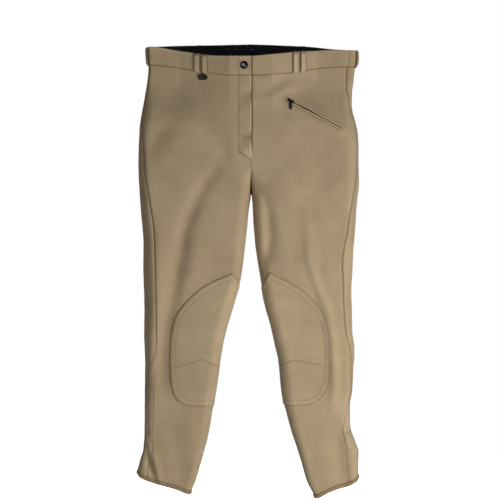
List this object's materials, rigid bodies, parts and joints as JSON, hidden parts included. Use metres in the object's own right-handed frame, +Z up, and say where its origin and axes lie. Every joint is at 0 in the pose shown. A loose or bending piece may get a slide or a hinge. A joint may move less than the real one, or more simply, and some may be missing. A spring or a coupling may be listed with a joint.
{
  "type": "riding breeches",
  "caption": "Ankle-length riding breeches held flat by the waistband, with a fly, belt loops, a zipped hip pocket, knee patches and ankle closures.",
  "frame": {"origin": "middle of the line between the two places where a hanger's clips grip the waistband, at the band's top edge", "axes": "+Z up, towards the hanger; the front faces -Y; +X is the wearer's left"},
  "size_m": [0.465, 0.0824, 0.9586],
  "materials": {
    "twill": "woven stretch twill, matt",
    "knee_patch": "second layer of the same twill, matt",
    "lining": "printed cotton, matt",
    "elastic": "knitted elastic, matt",
    "zip_tape": "woven polyester tape, matt",
    "zip_teeth": "moulded coil, satin",
    "zip_metal": "black enamelled zinc, satin",
    "snap_metal": "gunmetal plated, satin",
    "rubber": "moulded, matt",
    "tab_ring": "black enamelled wire, satin",
    "pocketing": "plain cotton, matt",
    "hook_and_loop": "nylon hook and loop tape, matt"
  },
  "bodies": {
    "garment": {"front_panel_right": "twill", "front_panel_left": "twill", "back_panel_right": "twill", "back_panel_left": "twill", "waistband_front_right": "twill", "waistband_front_left": "twill", "waistband_back": "twill", "waistband_underlap": "twill", "fly_shield": "twill", "pocket_welt": "twill", "ankle_underlap_right": "twill", "ankle_underlap_left": "twill", "hem_band_right": "twill", "hem_band_left": "twill", "belt_loop_front_right_outer": "twill", "belt_loop_front_right_inner": "twill", "belt_loop_front_left_inner": "twill", "belt_loop_front_left_outer": "twill", "belt_loop_back_right": "twill", "belt_loop_back_centre": "twill", "belt_loop_back_left": "twill", "belt_loop_side_right": "twill", "belt_loop_side_left": "twill", "knee_patch_upper_right": "knee_patch", "knee_patch_lower_right": "knee_patch", "knee_patch_upper_left": "knee_patch", "knee_patch_lower_left": "knee_patch", "lining_front_right": "lining", "lining_front_left": "lining", "lining_back": "lining", "waist_elastic": "elastic", "fly_zip_tape_right": "zip_tape", "fly_zip_tape_left": "zip_tape", "pocket_zip_tape_upper": "zip_tape", "pocket_zip_tape_lower": "zip_tape", "fly_zip_teeth": "zip_teeth", "pocket_zip_teeth": "zip_teeth", "fly_zip_stop": "zip_metal", "pocket_zip_stop": "zip_metal", "snap_stud": "snap_metal", "snap_stud_back": "snap_metal", "waist_tab_ring": "tab_ring", "pocket_bag_front": "pocketing", "pocket_bag_back": "pocketing", "loop_tape_right": "hook_and_loop", "loop_tape_left": "hook_and_loop"},
    "fly_flap": {"fly_placket": "twill", "waistband_tab": "twill", "snap_cap": "snap_metal", "snap_socket": "snap_metal"},
    "fly_zip_slider": {"fly_slider": "zip_metal"},
    "fly_zip_pull": {"fly_pull": "zip_metal"},
    "pocket_zip_slider": {"pocket_slider": "zip_metal"},
    "pocket_zip_pull": {"pocket_pull": "zip_metal"},
    "rubber_tab": {"waist_tab": "rubber"},
    "ankle_closure_right": {"ankle_flap_right": "twill", "hook_tape_right": "hook_and_loop"},
    "ankle_closure_left": {"ankle_flap_left": "twill", "hook_tape_left": "hook_and_loop"}
  },
  "joints": [
    {"name": "fly_flap_hinge", "type": "hinge", "parent": "garment", "child": "fly_flap", "pos_m": [-0.027, -0.034, -0.12], "axis": [0, 0, -1], "range_deg": [0, 110]},
    {"name": "fly_zip_slide", "type": "slide", "parent": "garment", "child": "fly_zip_slider", "axis": [0, 0, -1], "range_m": [0, 0.13]},
    {"name": "fly_pull_hinge", "type": "hinge", "parent": "fly_zip_slider", "child": "fly_zip_pull", "pos_m": [-0.01, -0.02995, -0.062], "axis": [-1, 0, 0], "range_deg": [0, 90]},
    {"name": "pocket_zip_slide", "type": "slide", "parent": "garment", "child": "pocket_zip_slider", "axis": [0.8822, -0.0356, -0.4694], "range_m": [0, 0.108]},
    {"name": "pocket_pull_hinge", "type": "hinge", "parent": "pocket_zip_slider", "child": "pocket_zip_pull", "pos_m": [0.08308, -0.03065, -0.106], "axis": [-0.9941, -0.1088, 0], "range_deg": [0, 150]},
    {"name": "rubber_tab_hinge", "type": "hinge", "parent": "garment", "child": "rubber_tab", "pos_m": [-0.10152, -0.02163, -0.05128], "axis": [-0.9685, 0.249, 0], "range_deg": [0, 85]},
    {"name": "ankle_right_hinge", "type": "hinge", "parent": "garment", "child": "ankle_closure_right", "pos_m": [-0.207, -0.02424, -0.8], "axis": [0.0994, -0.0448, 0.994], "range_deg": [0, 115]},
    {"name": "ankle_left_hinge", "type": "hinge", "parent": "garment", "child": "ankle_closure_left", "pos_m": [0.192, -0.02449, -0.8], "axis": [0.119, 0.0467, -0.9918], "range_deg": [0, 115]}
  ],
  "couplings": [
    {"joint": "fly_pull_hinge", "follows": "fly_flap_hinge", "ratio": 0.8}
  ]
}
